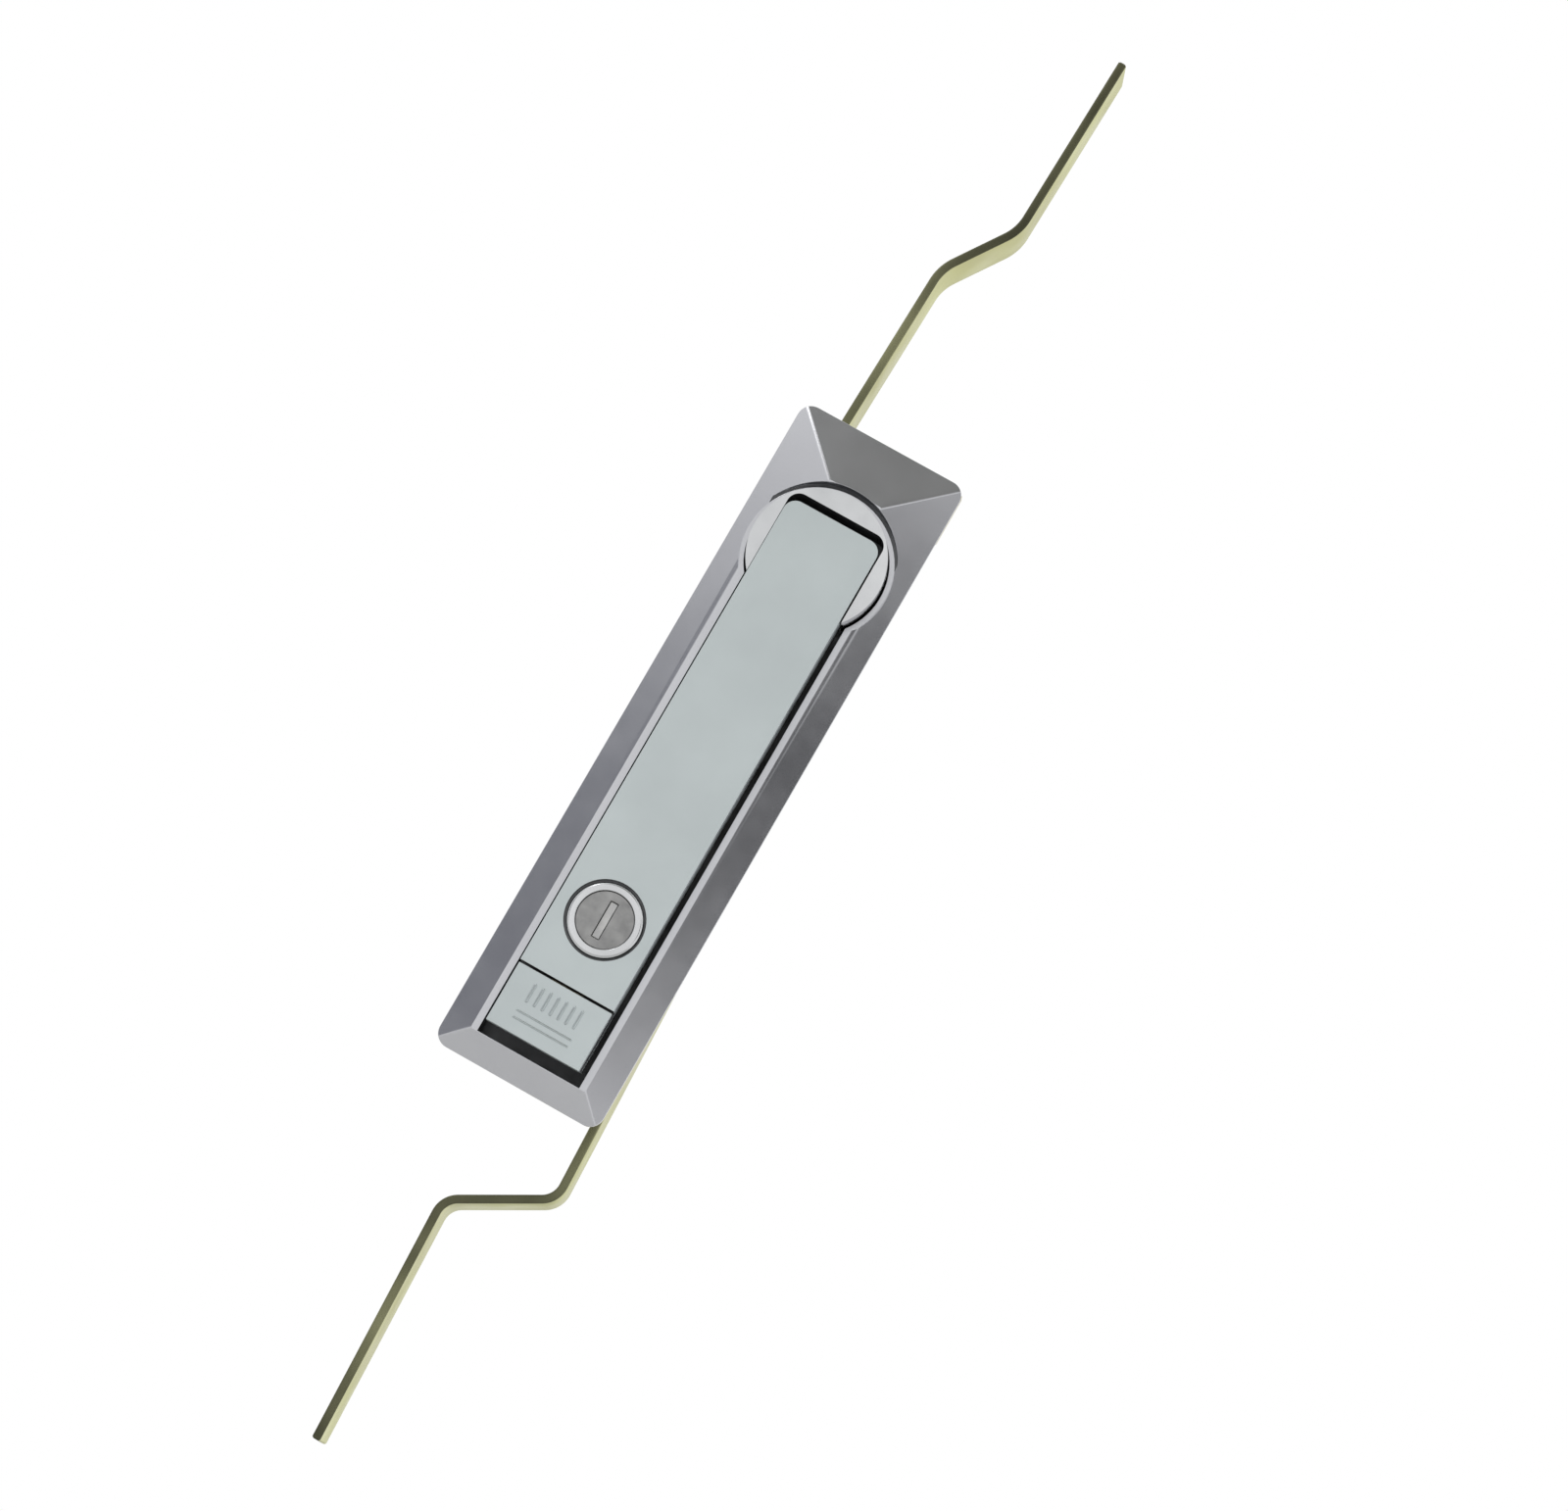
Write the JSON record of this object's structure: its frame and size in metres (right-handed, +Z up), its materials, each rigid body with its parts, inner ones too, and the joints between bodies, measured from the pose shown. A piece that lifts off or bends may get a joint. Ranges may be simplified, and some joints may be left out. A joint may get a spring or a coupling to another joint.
{
  "type": "cabinet rod lock",
  "caption": "Cabinet rod lock with a bevelled bezel, a lift-and-turn handle with key cylinder and push button, and flat joggled rods driven by a crank.",
  "frame": {"origin": "on the handle's turning axis, at the panel's front face", "axes": "+Z up the lock towards the turntable end and the upper rod, front facing -Y, +X to the right seen from the front"},
  "size_m": [0.042, 0.0475, 0.3687],
  "materials": {
    "satin_zinc": "satin chrome on die-cast zinc",
    "bright_chrome": "bright chrome",
    "plug_steel": "satin",
    "zinc_yellow_bar": "olive-yellow zinc passivate",
    "zinc_yellow_plate": "yellow zinc passivate",
    "plain_steel": "bright zinc",
    "bush_brass": "plain",
    "gasket_rubber": "matt"
  },
  "bodies": {
    "base": {"gasket": "gasket_rubber", "bezel": "satin_zinc", "clamp_bridges": "zinc_yellow_plate", "clamp_screws": "plain_steel", "spindle_bush": "bush_brass", "thrust_washer": "plain_steel"},
    "turntable": {"turntable": "satin_zinc", "hinge_pin": "plain_steel", "crank": "zinc_yellow_plate", "crank_pins": "plain_steel", "crank_washer": "plain_steel", "crank_screw": "plain_steel", "pin_clips": "plain_steel"},
    "handle": {"handle": "satin_zinc", "handle_cover": "plain_steel", "cover_screws": "plain_steel", "cylinder_barrel": "bright_chrome", "barrel_clip": "plain_steel"},
    "key_plug": {"cylinder_plug": "plug_steel", "dust_shutter": "plug_steel", "lock_cam": "zinc_yellow_plate"},
    "button": {"push_button": "satin_zinc"},
    "latch": {"latch_bar": "zinc_yellow_plate", "latch_stud": "plain_steel"},
    "upper_rod": {"upper_rod": "zinc_yellow_bar"},
    "lower_rod": {"lower_rod": "zinc_yellow_bar"}
  },
  "joints": [
    {"name": "handle_turn", "type": "hinge", "parent": "base", "child": "turntable", "pos_m": [0, 0, 0], "axis": [0, -1, 0], "range_deg": [0, 90]},
    {"name": "handle_lift", "type": "hinge", "parent": "turntable", "child": "handle", "pos_m": [0, -0.0065, 0.005], "axis": [-1, 0, 0], "range_deg": [0, 25]},
    {"name": "button_press", "type": "slide", "parent": "handle", "child": "button", "axis": [0, 1, 0], "range_m": [0, 0.0016], "stiffness_N_per_m": 600, "springref_m": -0.002},
    {"name": "latch_slide", "type": "slide", "parent": "handle", "child": "latch", "axis": [0, 0, -1], "range_m": [0, 0.0016]},
    {"name": "key_turn", "type": "hinge", "parent": "handle", "child": "key_plug", "pos_m": [0, -0.01, -0.095], "axis": [0, 1, 0], "range_deg": [0, 90]},
    {"name": "upper_rod_pivot", "type": "hinge", "parent": "turntable", "child": "upper_rod", "pos_m": [-0.0096, 0.026, 0.0096], "axis": [0, -1, 0], "range_deg": [-90, 0]},
    {"name": "lower_rod_pivot", "type": "hinge", "parent": "turntable", "child": "lower_rod", "pos_m": [0.0096, 0.026, -0.0096], "axis": [0, -1, 0], "range_deg": [-90, 0]}
  ],
  "couplings": [
    {"joint": "latch_slide", "follows": "button_press", "ratio": 1},
    {"joint": "upper_rod_pivot", "follows": "handle_turn", "ratio": -1},
    {"joint": "lower_rod_pivot", "follows": "handle_turn", "ratio": -1}
  ]
}
